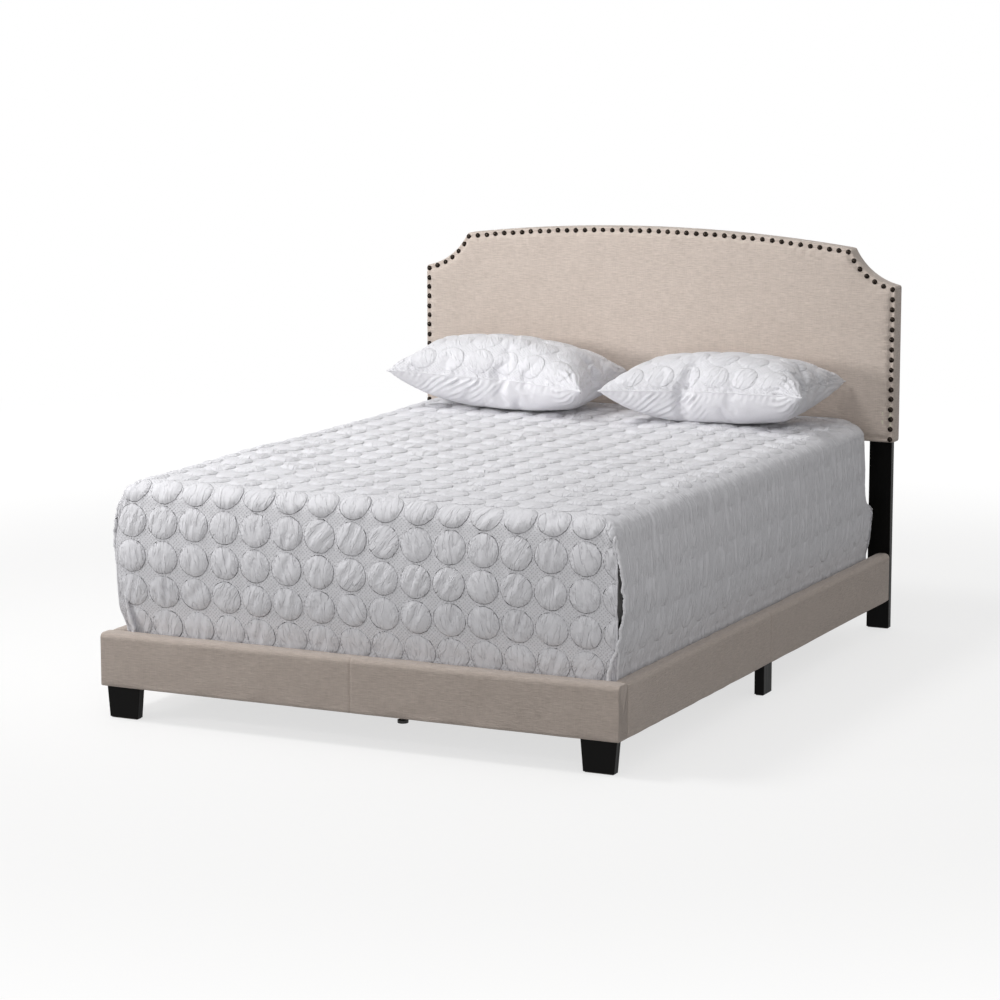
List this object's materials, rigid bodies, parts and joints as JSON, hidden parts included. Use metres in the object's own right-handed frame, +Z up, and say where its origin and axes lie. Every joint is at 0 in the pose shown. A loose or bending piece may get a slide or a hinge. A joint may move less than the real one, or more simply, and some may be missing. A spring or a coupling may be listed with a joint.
{
  "type": "upholstered bed",
  "caption": "Queen bed with a scooped, nail-trimmed linen headboard, padded rails on dark legs, box spring, mattress, circle-stitched quilt and two pillows.",
  "frame": {"origin": "on the floor, in the middle of the bed's footprint", "axes": "+Z up, +Y from the foot to the headboard, +X to the right as seen from the foot"},
  "size_m": [1.67, 2.192, 1.275],
  "materials": {
    "black_steel": "black enamelled steel",
    "board": "plywood, unfinished",
    "bound_edge": "white cotton binding",
    "bronze_nail": "blackened bronze",
    "dark_wood": "near-black satin lacquer over wood",
    "dust_cloth": "black non-woven cloth",
    "felt": "pressed felt",
    "linen": "slubby linen-look weave, warm light beige",
    "mattress_foam": "mattress foam",
    "nylon": "black nylon",
    "padding": "polyurethane foam under fabric",
    "pine": "planed softwood, unfinished",
    "quilt_cotton": "washed white cotton, quilted in circles",
    "sham_cotton": "washed white cotton, quilted top",
    "stuffing": "polyester filling in a cotton case",
    "ticking": "white knitted ticking",
    "zinc_steel": "zinc-plated steel"
  },
  "bodies": {
    "bed_frame": {"center_leg_screws": "zinc_steel", "center_legs": "pine", "corner_block_bolts": "black_steel", "corner_blocks": "pine", "felt_pads": "felt", "foot_rail_board": "board", "foot_rail_cover_left": "linen", "foot_rail_cover_right": "linen", "foot_rail_foam": "padding", "front_leg_left": "dark_wood", "front_leg_right": "dark_wood", "headboard_bottom_rail": "pine", "headboard_brackets": "black_steel", "headboard_cover": "linen", "headboard_dust_cloth": "dust_cloth", "headboard_face_board": "board", "headboard_foam": "padding", "headboard_leg_bolts": "black_steel", "headboard_leg_inserts": "zinc_steel", "headboard_leg_left": "dark_wood", "headboard_leg_right": "dark_wood", "headboard_leg_washers": "zinc_steel", "headboard_mullions": "pine", "headboard_nails": "bronze_nail", "headboard_stiles": "pine", "headboard_top_rail": "pine", "ledger_screws": "zinc_steel", "ledgers_left": "pine", "ledgers_right": "pine", "leg_hanger_bolts": "zinc_steel", "middle_leg_left": "dark_wood", "middle_leg_right": "dark_wood", "plate_screws": "zinc_steel", "rail_joiner_plates": "black_steel", "side_rail_boards_left": "board", "side_rail_boards_right": "board", "side_rail_cover_left_front": "linen", "side_rail_cover_left_rear": "linen", "side_rail_cover_right_front": "linen", "side_rail_cover_right_rear": "linen", "side_rail_foam": "padding", "slats": "pine"},
    "box_spring": {"box_spring_beam": "pine", "box_spring_cover": "ticking", "box_spring_deck_slats": "pine", "box_spring_end_boards": "pine", "box_spring_side_boards": "pine"},
    "mattress": {"mattress_comfort_foam": "mattress_foam", "mattress_support_foam": "mattress_foam", "mattress_ticking": "ticking", "quilt": "quilt_cotton", "quilt_corner_bindings": "bound_edge"},
    "pillow_left": {"pillow_sham_left": "sham_cotton", "pillow_insert_left": "stuffing"},
    "pillow_right": {"pillow_sham_right": "sham_cotton", "pillow_insert_right": "stuffing"},
    "leveller_1": {"leveller_1": "nylon"},
    "leveller_2": {"leveller_2": "nylon"},
    "leveller_3": {"leveller_3": "nylon"},
    "leveller_4": {"leveller_4": "nylon"}
  },
  "joints": [
    {"name": "box_spring_lift", "type": "slide", "parent": "bed_frame", "child": "box_spring", "axis": [0, 0, 1], "range_m": [0, 0.35]},
    {"name": "mattress_lift", "type": "slide", "parent": "box_spring", "child": "mattress", "axis": [0, 0, 1], "range_m": [0, 0.35]},
    {"name": "left_pillow_lift", "type": "slide", "parent": "mattress", "child": "pillow_left", "axis": [0, 0, 1], "range_m": [0, 0.3]},
    {"name": "right_pillow_lift", "type": "slide", "parent": "mattress", "child": "pillow_right", "axis": [0, 0, 1], "range_m": [0, 0.3]},
    {"name": "leveller_1_travel", "type": "slide", "parent": "bed_frame", "child": "leveller_1", "axis": [0, 0, 1], "range_m": [0, 0.008]},
    {"name": "leveller_2_travel", "type": "slide", "parent": "bed_frame", "child": "leveller_2", "axis": [0, 0, 1], "range_m": [0, 0.008]},
    {"name": "leveller_3_travel", "type": "slide", "parent": "bed_frame", "child": "leveller_3", "axis": [0, 0, 1], "range_m": [0, 0.008]},
    {"name": "leveller_4_travel", "type": "slide", "parent": "bed_frame", "child": "leveller_4", "axis": [0, 0, 1], "range_m": [0, 0.008]}
  ]
}
